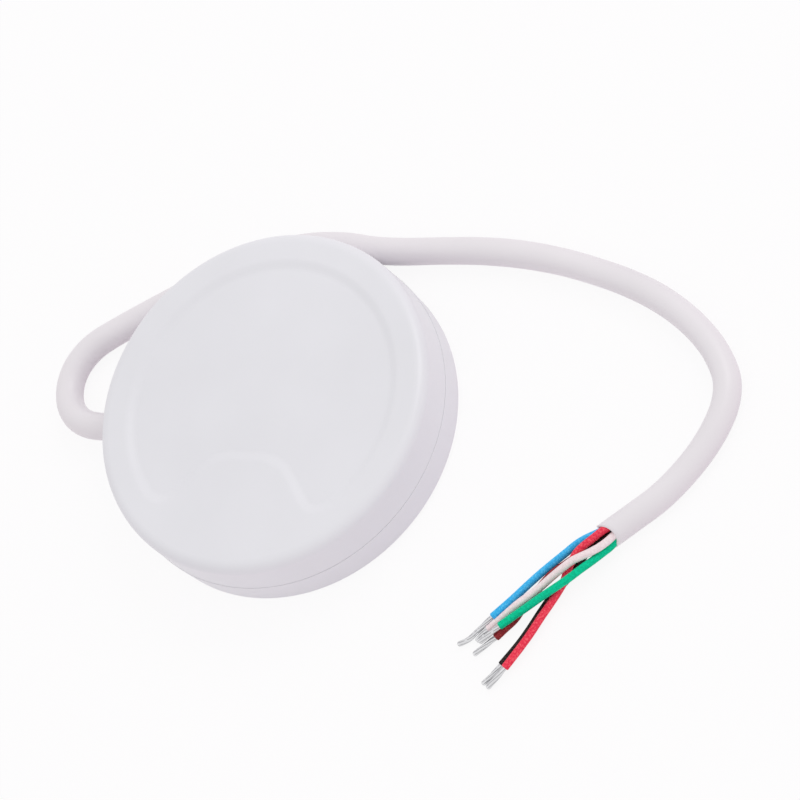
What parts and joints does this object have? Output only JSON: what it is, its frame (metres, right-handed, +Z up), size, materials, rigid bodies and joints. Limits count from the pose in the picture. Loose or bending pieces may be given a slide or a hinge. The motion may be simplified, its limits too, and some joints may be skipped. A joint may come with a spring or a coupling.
{
  "type": "garage door controller",
  "caption": "Flat round puck with a snapped-on cover over a circuit board, and a white cable from its side that ends in stripped, tinned cores for a door motor.",
  "frame": {"origin": "centre of the underside, on the surface that the puck lies on", "axes": "+Z up through the face, +Y to the side of the face opposite the raised lobe, -X to the side where the cable leaves"},
  "size_m": [0.1356, 0.0825, 0.015],
  "materials": {
    "cover_plastic": "satin moulded ABS",
    "base_plastic": "satin moulded ABS",
    "pad_foam": "closed-cell foam with adhesive",
    "grommet_rubber": "soft moulded PVC",
    "tie_nylon": "nylon",
    "cable_pvc": "satin PVC",
    "blue_pvc": "satin PVC",
    "white_pvc": "satin PVC",
    "green_pvc": "satin PVC",
    "brown_pvc": "satin PVC",
    "red_pvc": "satin PVC",
    "black_pvc": "satin PVC",
    "tinned_copper": "solder-dipped strands",
    "cream_nylon": "nylon",
    "contact_metal": "plated brass",
    "board_fr4": "solder mask on glass laminate",
    "radio_fr4": "solder mask on glass laminate",
    "screw_steel": "zinc plated",
    "shield_metal": "tin plated",
    "ceramic": "unglazed ceramic",
    "black_plastic": "moulded epoxy",
    "relay_iron": "nickel plated",
    "copper_wire": "enamelled copper",
    "can_aluminium": "drawn can",
    "ferrite": "sintered",
    "chip_body": "sintered",
    "led_lens": "clear epoxy"
  },
  "bodies": {
    "case": {"rear_base": "base_plastic", "adhesive_pad": "pad_foam", "cable_grommet": "grommet_rubber", "cable_tie": "tie_nylon", "cable_jacket": "cable_pvc", "core_blue": "blue_pvc", "core_white": "white_pvc", "core_green": "green_pvc", "core_brown": "brown_pvc", "core_red": "red_pvc", "core_black": "black_pvc", "tinned_ends": "tinned_copper", "tail_blue": "blue_pvc", "tail_white": "white_pvc", "tail_green": "green_pvc", "tail_brown": "brown_pvc", "tail_red": "red_pvc", "tail_black": "black_pvc", "plug_housing": "cream_nylon", "board_socket": "cream_nylon", "socket_pins": "contact_metal", "circuit_board": "board_fr4", "board_screws": "screw_steel", "radio_board": "radio_fr4", "radio_shield": "shield_metal", "chip_antenna": "ceramic", "relay_base": "black_plastic", "relay_pins": "contact_metal", "relay_yoke": "relay_iron", "relay_coil": "copper_wire", "relay_contact": "contact_metal", "relay_case": "black_plastic", "switch_body": "black_plastic", "capacitor_can": "can_aluminium", "capacitor_foot": "black_plastic", "inductor_core": "ferrite", "inductor_winding": "copper_wire", "bridge_rectifier": "black_plastic", "surge_diode": "black_plastic", "voltage_regulator": "black_plastic", "driver_transistor": "black_plastic", "chip_passives": "chip_body", "status_led": "led_lens"},
    "cover": {"front_cover": "cover_plastic"},
    "switch_button": {"switch_button": "tie_nylon"},
    "relay_armature": {"relay_armature": "relay_iron"}
  },
  "joints": [
    {"name": "cover_lift", "type": "slide", "parent": "case", "child": "cover", "axis": [0, 0, 1], "range_m": [0, 0.03]},
    {"name": "button_press", "type": "slide", "parent": "case", "child": "switch_button", "axis": [0, 0, -1], "range_m": [0, 0.00025], "stiffness_N_per_m": 6000},
    {"name": "armature_swing", "type": "hinge", "parent": "case", "child": "relay_armature", "pos_m": [0.00833, 0.0155, 0.00813], "axis": [0, -1, 0], "range_deg": [0, 6], "stiffness_Nm_per_rad": 0.001}
  ]
}
